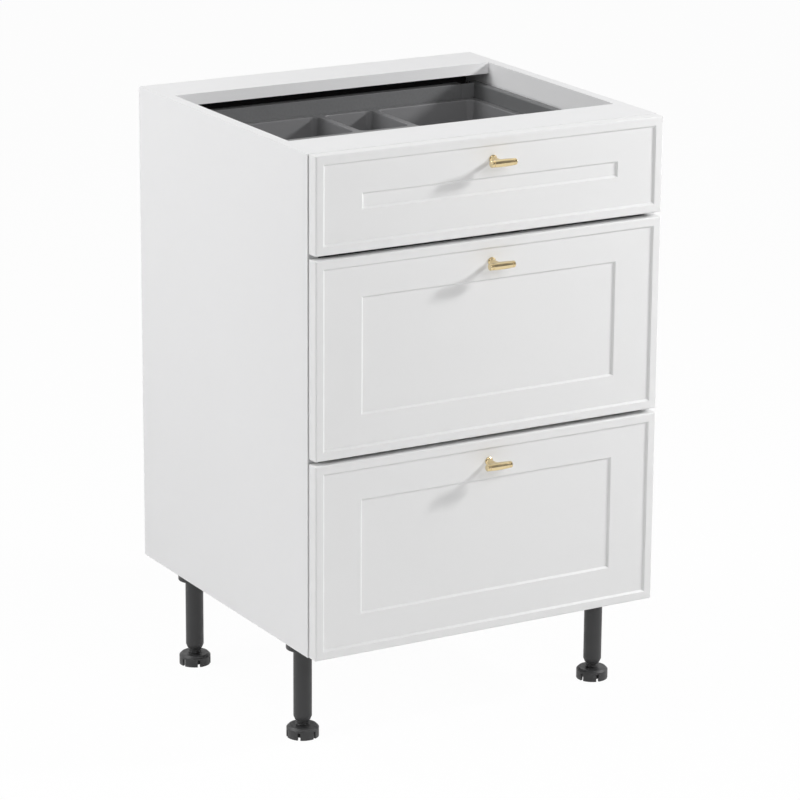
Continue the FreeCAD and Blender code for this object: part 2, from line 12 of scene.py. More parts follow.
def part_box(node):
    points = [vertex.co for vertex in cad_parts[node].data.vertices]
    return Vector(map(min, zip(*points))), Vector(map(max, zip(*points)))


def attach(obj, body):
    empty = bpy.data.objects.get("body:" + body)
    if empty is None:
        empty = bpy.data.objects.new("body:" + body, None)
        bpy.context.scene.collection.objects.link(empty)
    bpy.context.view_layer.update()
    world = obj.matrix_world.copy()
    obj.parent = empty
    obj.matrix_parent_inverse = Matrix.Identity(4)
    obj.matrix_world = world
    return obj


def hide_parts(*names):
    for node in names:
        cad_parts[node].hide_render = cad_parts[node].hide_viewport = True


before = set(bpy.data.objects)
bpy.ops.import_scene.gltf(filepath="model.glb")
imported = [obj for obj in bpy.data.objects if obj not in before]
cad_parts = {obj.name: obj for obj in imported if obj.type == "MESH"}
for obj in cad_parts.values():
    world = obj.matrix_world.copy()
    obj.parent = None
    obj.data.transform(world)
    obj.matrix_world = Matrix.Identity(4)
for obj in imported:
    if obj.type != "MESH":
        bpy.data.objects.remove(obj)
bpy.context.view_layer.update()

# Dressing of a kitchen base cabinet with three drawers. The construction comes from the frame;
# this file gives it milled and lacquered fronts, turned brass handles, folded steel drawer sides,
# a moulded tray, threaded feet, and the finish of every surface. All lengths are in metres.

bl_info = {
    "name": "Drawer Cabinet Dressing",
    "version": (1, 0, 0),
    "blender": (4, 5, 0),
    "location": "3D View > Sidebar > Cabinet",
    "description": "Surfaces, finishes and studio of a kitchen base cabinet with three drawers",
    "category": "Add Mesh",
}

DRAWERS = ("top", "middle", "bottom")
DEEP_DRAWERS = ("middle", "bottom")
SIDES = {"left": -1, "right": 1}
LEG_PLACES = ("front_left", "front_right", "rear_left", "rear_right")
MM = 0.001
FINE = 0.3 * MM          # easing of a fine edge
MERGE = 2e-6             # points nearer than this are one point
FLAT = math.radians(0.5)         # faces that turn by less than this are one face
SEAM_HALF = 0.06 * MM    # half the width of the hairline beside the edge band
ARC_STEPS = 6            # faces along a quarter of a small rounding
BOARDS = ("side_panel_left", "side_panel_right", "bottom_panel", "front_top_rail",
          "rear_top_rail")
FIRST_SLOTS = (48.7, 19.0, 18.5, 40.0)   # degrees to the first slot of each foot


def box(node):
    """The two corners of a fixed node as arrays."""
    return [np.array(corner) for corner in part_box(node)]


# ---- sizes and colours that can be set -------------------------------------------------------
def length(name, description, millimetres):
    return FloatProperty(name=name, description=description, default=millimetres * MM,
                         min=0.0, unit="LENGTH", subtype="DISTANCE", precision=4)


def colour(name, description, value):
    return FloatVectorProperty(name=name, description=description, default=value, size=3,
                               min=0.0, max=1.0, subtype="COLOR")


def share(name, description, value):
    return FloatProperty(name=name, description=description, default=value, min=0.0, max=1.0,
                         subtype="FACTOR")


class BoardSettings(PropertyGroup):
    """White faced boards of the carcass, and its back painted black for the deep shade behind the
    drawers
    """

    white: colour("White Facing", "Colour of the faced boards", (0.84, 0.84, 0.845))
    roughness: share("Roughness", "Roughness of the facing", 0.42)
    edge: length("Eased Edge", "Rounding of the banded edges", 0.5)
    band: length("Edge Band", "Thickness of the band on the front edges", 1.0)
    # painted shade: this near-black colour of the back panel stands for the deep shade behind the
    # drawers
    dark: colour("Back Panel", "Colour of the back panel", (0.011, 0.011, 0.012))


class FrontSettings(PropertyGroup):
    """Milled and lacquered drawer fronts"""

    lacquer: colour("Lacquer", "Colour of the lacquered fronts", (0.845, 0.845, 0.845))
    roughness: share("Roughness", "Roughness of the lacquer", 0.36)
    rim: length("Rim", "Width of the raised rim at the face", 13.0)
    step: length("Step", "Width and depth of each bevelled step", 3.0)
    panel_side: length("Panel Inset at the Sides", "From a side edge to the sunk panel", 78.5)
    panel_height: length("Panel Inset above and below", "From the top or bottom to the panel", 61.5)
    corner: length("Corner", "Rounding of the four upright corners", 1.4)
    face_round: length("Face Rounding", "Rounding of the edge round the face", 2.6)
    step_round: length("Step Rounding", "Softening of the milled steps", 0.7)


class HandleSettings(PropertyGroup):
    """Turned brass handles"""

    brass: colour("Brass", "Colour of the polished brass", (0.76, 0.62, 0.37))
    roughness: share("Roughness", "Roughness of the polished brass", 0.17)
    rose: length("Rose", "Height of the rose", 2.5)
    neck: length("Neck", "Radius of the post's neck", 3.6)
    flare: length("Flare", "How much wider the neck is at the rose and at the bar", 1.2)
    cap: length("Cap", "Length of the plain cap at each end of the bar", 4.5)
    ring: length("Ring", "Width of the turned groove beside each cap", 1.0)
    ring_depth: length("Ring Depth", "Depth of the turned groove", 0.55)
    end_round: length("End Rounding", "Rounding at the ends of the bar", 1.3)


class BoxSettings(PropertyGroup):
    """Drawer boxes: folded steel sides, faced boards and brackets"""

    steel: colour("Powder Coat", "Colour of the coated steel", (0.15, 0.152, 0.155))
    board: colour("Grey Facing", "Colour of the faced boards", (0.15, 0.152, 0.155))
    width: length("Side", "Width of a folded side", 13.0)
    sheet: length("Sheet", "Thickness of the folded steel", 1.2)
    bend: length("Bend", "Outer radius of the folds", 2.2)
    lip: length("Lip", "Width of the lip below the outer skin", 6.7)
    lip_height: length("Lip Height", "Height of the outer skin's lower edge", 38.0)
    flange: length("Flange", "Width of the flange below the base", 20.0)
    tab: length("Tab", "Width of the tab that takes the front's screws", 14.0)
    tab_rise: length("Tab Rise", "From the base to the foot of the tab", 16.0)
    tab_height: length("Tab Height", "Height of the tab", 50.0)
    zinc: colour("Zinc", "Colour of the zinc plated runners", (0.62, 0.63, 0.64))


class TraySettings(PropertyGroup):
    """Moulded tray of the top drawer"""

    plastic: colour("Plastic", "Colour of the moulded tray", (0.20, 0.20, 0.205))
    roughness: share("Roughness", "Roughness of the moulded surface", 0.32)
    wall: length("Wall", "Thickness of the moulded sheet", 2.0)
    rim: length("Rim", "Width of the flat rim", 12.0)
    divider: length("Divider", "Width between two pockets", 12.0)
    skirt: length("Skirt", "Height of the turned down rim", 9.0)
    left_divider: FloatProperty(
        name="Left Divider", description="Middle of the divider left of the middle pockets",
        default=-28.0 * MM, unit="LENGTH", subtype="DISTANCE")
    right_divider: FloatProperty(
        name="Right Divider", description="Middle of the divider right of the middle pockets",
        default=70.0 * MM, unit="LENGTH", subtype="DISTANCE")
    rear_pockets: length("Rear Pockets", "Length of the short pockets at the back", 127.0)
    draft: length("Draft", "How much narrower a pocket is at its floor, per side", 4.0)
    corner: length("Corner", "Corner radius of a pocket's mouth", 11.0)
    mouth_round: length("Mouth Rounding", "Rounding of a pocket's mouth", 2.6)
    floor_round: length("Floor Rounding", "Rounding where a wall meets the floor", 7.0)


class LegSettings(PropertyGroup):
    """Plastic legs with threaded feet"""

    plastic: colour("Plastic", "Colour of the moulded legs", (0.034, 0.034, 0.035))
    roughness: share("Roughness", "Roughness of the moulded legs", 0.46)
    tube_wall: length("Tube Wall", "Thickness of the leg tube", 3.35)
    tube_chamfer: length("Tube Chamfer", "Inward slope at the lower end of the tube", 2.4)
    tube_slope: length("Tube Slope", "Height of that slope", 6.0)
    plate: length("Socket Plate", "Thickness of the plate under the cabinet", 4.0)
    socket_skirt: length("Socket Rim", "Height of the rim round the plate", 18.0)
    socket_wall: length("Socket Wall", "Thickness of the socket's rim", 1.8)
    disc_height: length("Disc Height", "Height of the foot disc", 18.0)
    disc_chamfer: length("Shoulder", "Bevel of the foot disc", 3.5)
    disc_wall: length("Disc Wall", "Thickness of the rim of the foot disc", 4.0)
    hollow: length("Hollow", "Depth of the hollow under the disc", 13.0)
    slots: IntProperty(name="Slots", description="Slots in the rim of each foot", default=6, min=3)
    slot_width: length("Slot Width", "Width of each slot", 4.0)
    slot_height: length("Slot Height", "Height of each slot", 11.5)
    hub: length("Hub", "Radius of the hub under the disc", 15.0)
    stem: length("Stem", "Outer radius of the thread", 10.6)
    pitch: length("Pitch", "Rise of the thread in one turn", 3.3)
    thread: length("Thread Depth", "Depth of the thread", 1.3)


class StudioSettings(PropertyGroup):
    """Floor, lamps and camera"""

    floor: colour("Floor", "Colour of the pale floor", (0.9, 0.9, 0.9))
    shadow: share("Shadow", "How much of the shadow on the floor is seen", 0.03)
    sky: FloatProperty(name="Sky", description="Strength of the even light", default=0.15, min=0.0)
    key: FloatProperty(name="Key Lamp", description="Power of the main lamp",
                       default=45.0, min=0.0, unit="POWER")
    key_size: length("Key Size", "Width of the main lamp", 300.0)
    left: FloatProperty(name="Left Lamp", description="Power of the soft lamp on the left",
                        default=29.0, min=0.0, unit="POWER")
    crown: FloatProperty(name="Crown Lamp", description="Power of the soft lamp high behind",
                         default=36.0, min=0.0, unit="POWER")
    front: FloatProperty(name="Front Lamp", description="Power of the soft lamp in front",
                         default=24.0, min=0.0, unit="POWER")
    soft_size: length("Soft Size", "Width of each soft lamp", 1250.0)
    lens: FloatProperty(name="Lens", description="Focal length of the camera in millimetres",
                        default=166.88, min=1.0)


class DressingSettings(PropertyGroup):
    """All the sizes and colours of the cabinet's dressing"""

    boards: PointerProperty(type=BoardSettings)
    fronts: PointerProperty(type=FrontSettings)
    handles: PointerProperty(type=HandleSettings)
    boxes: PointerProperty(type=BoxSettings)
    tray: PointerProperty(type=TraySettings)
    legs: PointerProperty(type=LegSettings)
    studio: PointerProperty(type=StudioSettings)


def settings():
    return bpy.context.scene.cabinet_dressing


# ---- surfaces --------------------------------------------------------------------------------
def eased_path(corners, steps=ARC_STEPS):
    """Path through corners (x, y, radius), each rounded by an arc.

    An arc touches both sides of its corner at radius / tan(half the inner angle) from it, and its
    points turn evenly from one touching point to the other about the arc's centre.
    """
    path = [np.array([corners[0][:2]])]
    for before, corner, after in zip(corners, corners[1:], corners[2:]):
        here, radius = np.array(corner[:2]), corner[2]
        if radius <= 0:
            path.append(here[None])
            continue
        back = np.array(before[:2]) - here
        on = np.array(after[:2]) - here
        back, on = back / np.linalg.norm(back), on / np.linalg.norm(on)
        inner = math.acos(np.clip(back @ on, -1, 1))
        reach = radius / math.tan(inner / 2)
        middle = here + (back + on) / np.linalg.norm(back + on) * radius / math.sin(inner / 2)
        start, end = here + back * reach - middle, here + on * reach - middle
        turn = math.pi - inner
        t = np.linspace(0, 1, steps + 1)[:, None]
        between = np.sin((1 - t) * turn) * start + np.sin(t * turn) * end
        path.append(middle + between / math.sin(turn))
    path.append(np.array([corners[-1][:2]]))
    return np.concatenate(path)


def rounded_rings(x0, x1, y0, y1, corner, steps=ARC_STEPS):
    """Loops round rectangles with round corners, one for each entry of the arrays.

    Each corner is a quarter circle about the point that lies `corner` in from its two sides.
    """
    x0, x1, y0, y1, corner = [a[:, None] for a in np.broadcast_arrays(x0, x1, y0, y1, corner)]
    quarters = np.arange(4)[:, None] * math.pi / 2 + np.linspace(0, math.pi / 2, steps + 1)
    angle = quarters.ravel()
    at_right = np.repeat([True, False, False, True], steps + 1)
    at_top = np.repeat([True, True, False, False], steps + 1)
    x = np.where(at_right, x1 - corner, x0 + corner) + corner * np.cos(angle)
    y = np.where(at_top, y1 - corner, y0 + corner) + corner * np.sin(angle)
    return x, y


def turned_grid(profile, centre, axis, count=48):
    """Surface turned from (radius, height) points: each point goes round the axis in a circle."""
    axis = np.array(axis, float)
    side = np.cross(axis, [0.0, 0.0, 1.0]) if abs(axis[2]) < 0.9 else np.array([1.0, 0.0, 0.0])
    across = np.cross(axis, side)
    angle = np.arange(count) * 2 * math.pi / count
    circle = np.cos(angle)[:, None] * side + np.sin(angle)[:, None] * across
    radius, height = profile[:, 0, None, None], profile[:, 1, None, None]
    return np.array(centre) + height * axis + radius * circle


class Shell:
    """Points and faces of one piece, gathered from its surfaces."""

    def __init__(self):
        self.points = []
        self.faces = []
        self.count = 0

    def add(self, points, faces):
        """Keep points and the faces between them, which count from the first of these points."""
        points = np.asarray(points, float).reshape(-1, 3)
        self.points.append(points)
        self.faces += [[index + self.count for index in face] for face in faces]
        self.count += len(points)

    def grid(self, points, round_rows=False, round_columns=True, first_cap=False, last_cap=False):
        """A grid of points with a quad between each four neighbours, closed on itself where
        asked, and with its first and last row filled where asked."""
        rows, columns = points.shape[:2]
        row = np.arange(rows if round_rows else rows - 1)[:, None]
        column = np.arange(columns if round_columns else columns - 1)[None, :]
        next_row, next_column = (row + 1) % rows, (column + 1) % columns
        corners = (row * columns + column, row * columns + next_column,
                   next_row * columns + next_column, next_row * columns + column)
        faces = np.stack(np.broadcast_arrays(*corners), axis=-1).reshape(-1, 4).tolist()
        if first_cap:
            faces.append(list(range(columns))[::-1])
        if last_cap:
            faces.append(list(range((rows - 1) * columns, rows * columns)))
        self.add(points, faces)

    def mesh(self, name, outward=True):
        """The joined mesh: double points merged, empty faces gone, faces turned outwards."""
        mesh = bpy.data.meshes.new(name)
        mesh.from_pydata(np.concatenate(self.points).tolist(), [], self.faces)
        return joined(mesh, outward)


def joined(mesh, outward=True):
    work = bmesh.new()
    work.from_mesh(mesh)
    bmesh.ops.remove_doubles(work, verts=work.verts, dist=MERGE)
    bmesh.ops.dissolve_degenerate(work, edges=work.edges, dist=MERGE)
    if outward:
        bmesh.ops.recalc_face_normals(work, faces=work.faces)
    work.to_mesh(mesh)
    work.free()
    return mesh


def piece(name, mesh, body, material, replaced=(), smooth=35.0, bevel=0.0, wall=0.0):
    """A finished piece: its mesh, its finish, the body that it rides on and what it stands for."""
    mesh.name = name
    mesh.materials.append(material)
    mesh.shade_smooth()
    mesh.set_sharp_from_angle(angle=math.radians(smooth))
    thing = bpy.data.objects.new(name, mesh)
    bpy.context.scene.collection.objects.link(thing)
    if wall:
        solid = thing.modifiers.new("wall", "SOLIDIFY")
        solid.thickness = wall
        solid.offset = -1.0
        solid.use_even_offset = True
    if bevel:
        ease = thing.modifiers.new("eased edges", "BEVEL")
        ease.width = bevel
        ease.segments = 2
        ease.limit_method = "ANGLE"
        ease.angle_limit = math.radians(smooth)
    weigh = thing.modifiers.new("even faces", "WEIGHTED_NORMAL")
    weigh.keep_sharp = not bevel
    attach(thing, body)
    if replaced:
        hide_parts(*replaced)
    return thing


def block(shell, low, high, radius, steps=3):
    """Block with every edge rounded: rings whose inset and height follow a quarter circle at the
    foot and the head, and whose corner radius shrinks by the inset."""
    quarter = np.linspace(0, math.pi / 2, steps + 1)
    inset = radius * np.concatenate([1 - np.sin(quarter), 1 - np.cos(quarter)])
    height = np.concatenate([low[2] + radius * (1 - np.cos(quarter)),
                             high[2] - radius * (1 - np.sin(quarter))])
    corner = radius - inset
    x, y = rounded_rings(low[0] + inset, high[0] - inset, low[1] + inset, high[1] - inset,
                         corner, steps)
    z = np.broadcast_to(height[:, None], x.shape)
    shell.grid(np.stack([x, y, z], axis=-1), first_cap=True, last_cap=True)


def softened(node):
    """Mesh of a fixed node with its corners joined and its flat faces whole, ready for easing."""
    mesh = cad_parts[node].data.copy()
    for layer in [a for a in mesh.attributes if a.name == "custom_normal"]:
        mesh.attributes.remove(layer)
    mesh.materials.clear()
    work = bmesh.new()
    work.from_mesh(mesh)
    bmesh.ops.remove_doubles(work, verts=work.verts, dist=MERGE)
    bmesh.ops.dissolve_limit(work, angle_limit=FLAT, verts=work.verts, edges=work.edges)
    work.to_mesh(mesh)
    work.free()
    return mesh


def dress(material, *nodes):
    """Give fixed nodes a finish."""
    for node in nodes:
        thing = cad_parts[node]
        if not thing.material_slots:
            thing.data.materials.append(material)
        for place in thing.material_slots:
            place.material = material


# ---- finishes --------------------------------------------------------------------------------
class Value:
    """A number or colour that varies over a surface. Sums on it add Math nodes."""

    def __init__(self, nodes, socket):
        self.nodes = nodes
        self.socket = socket

    def math(self, operation, *others):
        return self.nodes.node("ShaderNodeMath", {"operation": operation},
                               dict(enumerate((self, *others))))

    def __sub__(self, other):
        return self.math("SUBTRACT", other)

    def __rsub__(self, other):
        return self.nodes.node("ShaderNodeMath", {"operation": "SUBTRACT"}, {0: other, 1: self})

    def __mul__(self, other):
        return self.math("MULTIPLY", other)

    __rmul__ = __mul__

    def __lt__(self, other):
        return self.math("LESS_THAN", other)

    def __abs__(self):
        return self.math("ABSOLUTE")


class Nodes:
    """The nodes of a material or a world."""

    def __init__(self, owner):
        owner.use_nodes = True
        self.tree = owner.node_tree
        self.tree.nodes.clear()

    def put(self, node, values):
        """Set a node's sockets to numbers or colours, or link other nodes to them."""
        for key, value in values.items():
            socket = node.inputs[key]
            if isinstance(value, Value):
                self.tree.links.new(value.socket, socket)
            elif hasattr(value, "__len__") and socket.type == "RGBA":
                socket.default_value = (*value[:3], 1.0)
            else:
                socket.default_value = value

    def node(self, kind, choices=None, values=None, output=0):
        """Any node: its choices are set first, then its sockets, and one output is given back."""
        node = self.tree.nodes.new(kind)
        for key, value in (choices or {}).items():
            setattr(node, key, value)
        self.put(node, values or {})
        return Value(self, node.outputs[output])

    def show(self, kind, shader):
        """End in an output node, which shows a shader."""
        self.put(self.tree.nodes.new(kind), {"Surface": shader})

    def remap(self, value, low, high, new_low, new_high):
        """From one range of numbers to another, held within it."""
        return self.node("ShaderNodeMapRange", {"clamp": True}, {
            "Value": value, "From Min": low, "From Max": high,
            "To Min": new_low, "To Max": new_high})


class Finish(Nodes):
    """A material on one surface shader, whose patterns follow the object's own coordinates."""

    def __init__(self, name, colour, roughness, constants=None):
        self.material = bpy.data.materials.new(name)
        super().__init__(self.material)
        self.shader = self.tree.nodes.new("ShaderNodeBsdfPrincipled")
        self.show("ShaderNodeOutputMaterial", Value(self, self.shader.outputs["BSDF"]))
        self.colour = colour
        self.roughness = roughness
        self.put(self.shader, {"Base Color": colour, "Roughness": roughness, **(constants or {})})
        self.place = self.node("ShaderNodeTexCoord", output="Object")

    def axis(self, index):
        return self.node("ShaderNodeSeparateXYZ", values={"Vector": self.place}, output=index)

    def noise(self, per_metre, detail=2.0, stretch=None, distortion=0.0):
        """Cloudy pattern, whose coordinates may be multiplied by a number for each axis."""
        place = self.place
        if stretch:
            place = self.node("ShaderNodeMapping", values={"Vector": place, "Scale": stretch})
        return self.node("ShaderNodeTexNoise", values={
            "Vector": place, "Scale": per_metre, "Detail": detail, "Distortion": distortion})

    def cells(self, per_metre, output="Distance"):
        return self.node("ShaderNodeTexVoronoi", values={
            "Vector": self.place, "Scale": per_metre}, output=output)

    def paint(self, pattern, first, second):
        """Colour between two colours, as a pattern goes from 0 to 1."""
        tone = self.node("ShaderNodeMix", {"data_type": "RGBA"},
                         {0: pattern, 6: first, 7: second}, output=2)
        self.put(self.shader, {"Base Color": tone})
        return tone

    def shades(self, pattern, first, second):
        """Colour between two shades of the material's own colour."""
        return self.paint(pattern, shade(self.colour, first), shade(self.colour, second))

    def polish(self, pattern, less, more, low=0.3, high=0.7):
        """Roughness from so much less to so much more, as a pattern goes from low to high."""
        self.put(self.shader, {"Roughness": self.remap(
            pattern, low, high, self.roughness - less, self.roughness + more)})

    def relief(self, height, metres, strength):
        """Fine relief: a height from 0 to 1 stands for so many metres."""
        bump = self.node("ShaderNodeBump", values={
            "Strength": strength, "Distance": metres, "Height": height})
        self.put(self.shader, {"Normal": bump})


def shade(colour, factor):
    return tuple(min(1.0, channel * factor) for channel in colour)


def white_board_finish():
    """White faced chipboard: a fine pearled facing, and a hairline where the front band begins."""
    made = settings().boards
    finish = Finish("white_facing", made.white, made.roughness)
    tone = finish.shades(finish.noise(3.0, 3.0), 0.985, 1.008)
    seam = box("side_panel_left")[0][1] + made.band
    hairline = abs(finish.axis(1) - seam) < SEAM_HALF
    finish.paint(hairline * 0.35, tone, shade(made.white, 0.55))
    finish.polish(finish.noise(40.0, 3.0), 0.04, 0.06)
    finish.relief(finish.noise(1400.0), 0.02 * MM, 0.5)
    return finish.material


def white_front_finish():
    """Sprayed lacquer over milled board: a soft orange peel and broad differences of sheen."""
    made = settings().fronts
    finish = Finish("white_lacquer", made.lacquer, made.roughness)
    finish.shades(finish.noise(2.5), 0.99, 1.006)
    finish.polish(finish.noise(25.0), 0.03, 0.05)
    finish.relief(finish.noise(420.0, 1.0), 0.02 * MM, 0.35)
    return finish.material


def painted_shade_back_finish():
    """Painted shade: the back panel made black for the deep shade behind the drawers, with a fine
    dry grain in the black.
    """
    made = settings().boards
    finish = Finish("black_painted_shade_back", made.dark, 0.62)
    speck = finish.noise(900.0, 4.0)
    finish.shades(speck, 0.7, 1.5)
    finish.polish(finish.noise(60.0, 3.0), 0.07, 0.1)
    finish.relief(speck, 0.06 * MM, 0.4)
    return finish.material


def powder_coat_finish():
    """Grey powder coat: pebbled skin with a slight sparkle of lighter grains."""
    made = settings().boxes
    finish = Finish("grey_powder_coat", made.steel, 0.42)
    finish.shades(finish.cells(1600.0), 1.12, 0.9)
    finish.polish(finish.noise(55.0, 3.0), 0.06, 0.08)
    finish.relief(finish.noise(1100.0), 0.04 * MM, 0.45)
    return finish.material


def grey_board_finish():
    """Grey faced board of the drawer's base and back, with a fine print of darker fibres."""
    made = settings().boxes
    finish = Finish("grey_facing", made.board, 0.5)
    finish.shades(finish.noise(260.0, 4.0, (1.0, 0.12, 1.0)), 0.86, 1.14)
    finish.polish(finish.noise(30.0), 0.06, 0.06)
    finish.relief(finish.noise(1300.0), 0.03 * MM, 0.4)
    return finish.material


def tray_finish():
    """Moulded grey plastic with a spark-eroded grain and faint flow marks."""
    made = settings().tray
    finish = Finish("grey_moulding", made.plastic, made.roughness)
    finish.shades(finish.noise(9.0, 3.0, distortion=0.6), 0.95, 1.06)
    finish.polish(finish.noise(90.0, 3.0), 0.02, 0.03)
    finish.relief(finish.noise(1500.0), 0.006 * MM, 0.5)
    return finish.material


def brass_finish():
    """Polished brass: faint turning lines and a slightly warmer, duller tone in patches."""
    made = settings().handles
    finish = Finish("polished_brass", made.brass, made.roughness, {"Metallic": 1.0})
    patch = finish.noise(120.0, 3.0)
    finish.shades(patch, 0.93, 1.05)
    finish.polish(patch, 0.05, 0.07)
    finish.relief(finish.noise(1.0, 2.0, (5200.0, 300.0, 300.0)), 0.01 * MM, 0.25)
    return finish.material


def zinc_finish():
    """Zinc plated steel: pale, with the broad dull flowers of the plating."""
    made = settings().boxes
    finish = Finish("zinc_plate", made.zinc, 0.36, {"Metallic": 1.0})
    tone = finish.node("ShaderNodeSeparateColor", output="Red",
                       values={"Color": finish.cells(170.0, output="Color")})
    finish.shades(tone, 0.88, 1.1)
    finish.polish(tone, 0.08, 0.1, 0.0, 1.0)
    finish.relief(finish.noise(700.0), 0.02 * MM, 0.3)
    return finish.material


def screw_finish():
    """Bright passivated screws and cams, a little yellowed and worn."""
    finish = Finish("bright_screws", (0.66, 0.65, 0.61), 0.3, {"Metallic": 1.0})
    wear = finish.noise(600.0, 3.0)
    finish.shades(wear, 0.8, 1.1)
    finish.polish(wear, 0.08, 0.12)
    finish.relief(finish.noise(2200.0), 0.01 * MM, 0.3)
    return finish.material


def beech_finish():
    """Bare beech dowels with short flecks along the grain."""
    finish = Finish("bare_beech", (0.62, 0.42, 0.24), 0.6)
    grain = finish.noise(1.0, 4.0, (60.0, 900.0, 900.0))
    finish.shades(grain, 0.72, 1.2)
    finish.relief(grain, 0.1 * MM, 0.4)
    return finish.material


def pad_finish():
    """Clear soft pads: a cloudy translucent rubber."""
    finish = Finish("clear_pads", (0.8, 0.8, 0.79), 0.32, {"Transmission Weight": 0.5, "IOR": 1.45})
    cloud = finish.noise(300.0)
    finish.shades(cloud, 0.92, 1.05)
    finish.polish(cloud, 0.06, 0.1)
    return finish.material


def leg_finish():
    """Black moulded plastic: a fine grain, and a slightly paler rub here and there."""
    made = settings().legs
    finish = Finish("black_moulding", made.plastic, made.roughness)
    rub = finish.noise(70.0, 4.0)
    finish.shades(rub, 0.82, 1.25)
    finish.polish(rub, 0.06, 0.1)
    finish.relief(finish.noise(1800.0), 0.03 * MM, 0.45)
    return finish.material


def joint_strip_finish():
    """Black extruded strip with fine die lines along its length."""
    finish = Finish("black_strip", (0.016, 0.016, 0.017), 0.4)
    lines = finish.noise(1.0, 2.0, (1600.0, 1600.0, 8.0))
    finish.shades(lines, 0.8, 1.3)
    finish.relief(lines, 0.03 * MM, 0.4)
    return finish.material


FINISHES = {
    "white_board": white_board_finish,
    "white_front": white_front_finish,
    # painted shade: the back panel's black stands for the deep shade behind the drawers
    "dark_hardboard": painted_shade_back_finish,
    "dark_plastic": joint_strip_finish,
    "grey_steel": powder_coat_finish,
    "grey_board": grey_board_finish,
    "grey_plastic": tray_finish,
    "brass": brass_finish,
    "zinc_steel": zinc_finish,
    "screw_steel": screw_finish,
    "beech": beech_finish,
    "clear_rubber": pad_finish,
    "black_plastic": leg_finish,
}
made_finishes = {}


def finish(slot):
    """The finish of one of the record's material slots, made when it is first asked for."""
    if slot not in made_finishes:
        made_finishes[slot] = FINISHES[slot]()
    return made_finishes[slot]


# ---- carcass ---------------------------------------------------------------------------------
class CABINET_OT_carcass(Operator):
    """White boards with eased edges, the back painted black as the deep shade behind the drawers,
    and the fittings that hold the boards
    """

    bl_idname = "cabinet.carcass"
    bl_label = "Carcass"

    def execute(self, context):
        made = settings().boards
        white = finish("white_board")
        for node in BOARDS:
            piece("eased_" + node, softened(node), "cabinet", white, [node],
                  smooth=30.0, bevel=made.edge)
        # painted shade: the back panels are made black for the deep shade behind the drawers
        dress(finish("dark_hardboard"), "back_panel_left", "back_panel_right")
        dress(finish("dark_plastic"), "back_joint_strip")
        dress(finish("screw_steel"), "cam_locks", "cam_bolts")
        dress(finish("beech"), "wooden_dowels")
        dress(finish("clear_rubber"), "buffer_pads")
        return {"FINISHED"}


# ---- fronts ----------------------------------------------------------------------------------
def front_surface(low, high):
    """Skin of a milled front, as rings from the middle of its back to the middle of its panel.

    A ring is the front's outline moved inwards by an inset. Inset and depth follow a path that
    goes out along the back, round the edges and down the two bevelled steps.
    """
    made = settings().fronts
    thick = high[1] - low[1]
    step, rim, panel = made.step, made.rim, made.panel_side
    soft = made.step_round
    path = eased_path([
        (panel, thick, 0), (0, thick, 0.5 * MM), (0, 0, made.face_round), (rim, 0, soft),
        (rim + step, step, soft), (panel, step, soft), (panel + step, 2 * step, soft),
        (panel + 2 * step, 2 * step, 0),
    ], steps=4)
    inset, depth = path.T
    upright = inset - np.where(inset > (rim + panel) / 2, made.panel_side - made.panel_height, 0)
    corner = np.maximum(made.corner - inset, 0.25 * MM)
    x, z = rounded_rings(low[0] + inset, high[0] - inset, low[2] + upright, high[2] - upright,
                         corner, 4)
    y = np.broadcast_to((low[1] + depth)[:, None], x.shape)
    shell = Shell()
    shell.grid(np.stack([x, y, z], axis=-1), first_cap=True, last_cap=True)
    return shell


class CABINET_OT_fronts(Operator):
    """Milled fronts with a raised rim, a frame and a sunk panel"""

    bl_idname = "cabinet.fronts"
    bl_label = "Milled Fronts"

    def execute(self, context):
        for drawer in DRAWERS:
            low, high = box("front_" + drawer)
            mesh = front_surface(low, high).mesh("milled_front_" + drawer)
            piece("milled_front_" + drawer, mesh, "drawer_" + drawer, finish("white_front"),
                  ["front_" + drawer], smooth=40.0)
        return {"FINISHED"}


# ---- handles ---------------------------------------------------------------------------------
def bar_profile(half, end_radius, middle_radius):
    """Half outline of the bar: eased cap, turned groove, and a barrel whose radius falls from the
    middle with the square of the distance."""
    made = settings().handles
    groove = half - made.cap
    cut = end_radius - made.ring_depth
    fine = 0.2 * MM
    cap = eased_path([
        (0, half, 0), (end_radius, half, made.end_round), (end_radius, groove, fine),
        (cut, groove, fine), (cut, groove - made.ring, fine),
        (end_radius + fine, groove - made.ring, fine),
        (end_radius + fine, groove - 2 * made.ring, 0),
    ], steps=5)
    along = np.linspace(groove - 2 * made.ring, 0, 14)[1:]
    share_out = along / (groove - 2 * made.ring)
    fall = (middle_radius - end_radius - fine) * share_out ** 2
    barrel = np.stack([middle_radius - fall, along], axis=1)
    right = np.concatenate([cap, barrel])
    left = right[:-1][::-1] * [1, -1]
    return np.concatenate([right, left])


def post_profile(reach, rose_radius):
    """Outline of the post: a stepped rose, a waisted neck and a head that meets the bar."""
    made = settings().handles
    neck, flare, rose = made.neck, made.neck + made.flare, made.rose
    waist, throat, head = rose + 3 * MM, reach - 12 * MM, reach - 5 * MM
    return eased_path([
        (0, 0, 0), (rose_radius, 0, 0.2 * MM), (rose_radius, rose - 0.6 * MM, 0.6 * MM),
        (rose_radius - 0.8 * MM, rose, FINE), (flare + FINE, rose, FINE),
        (neck, waist, 4 * MM), (neck, throat, 8 * MM), (flare, head, 3 * MM),
        (flare, reach, FINE), (0, reach, 0),
    ], steps=5)


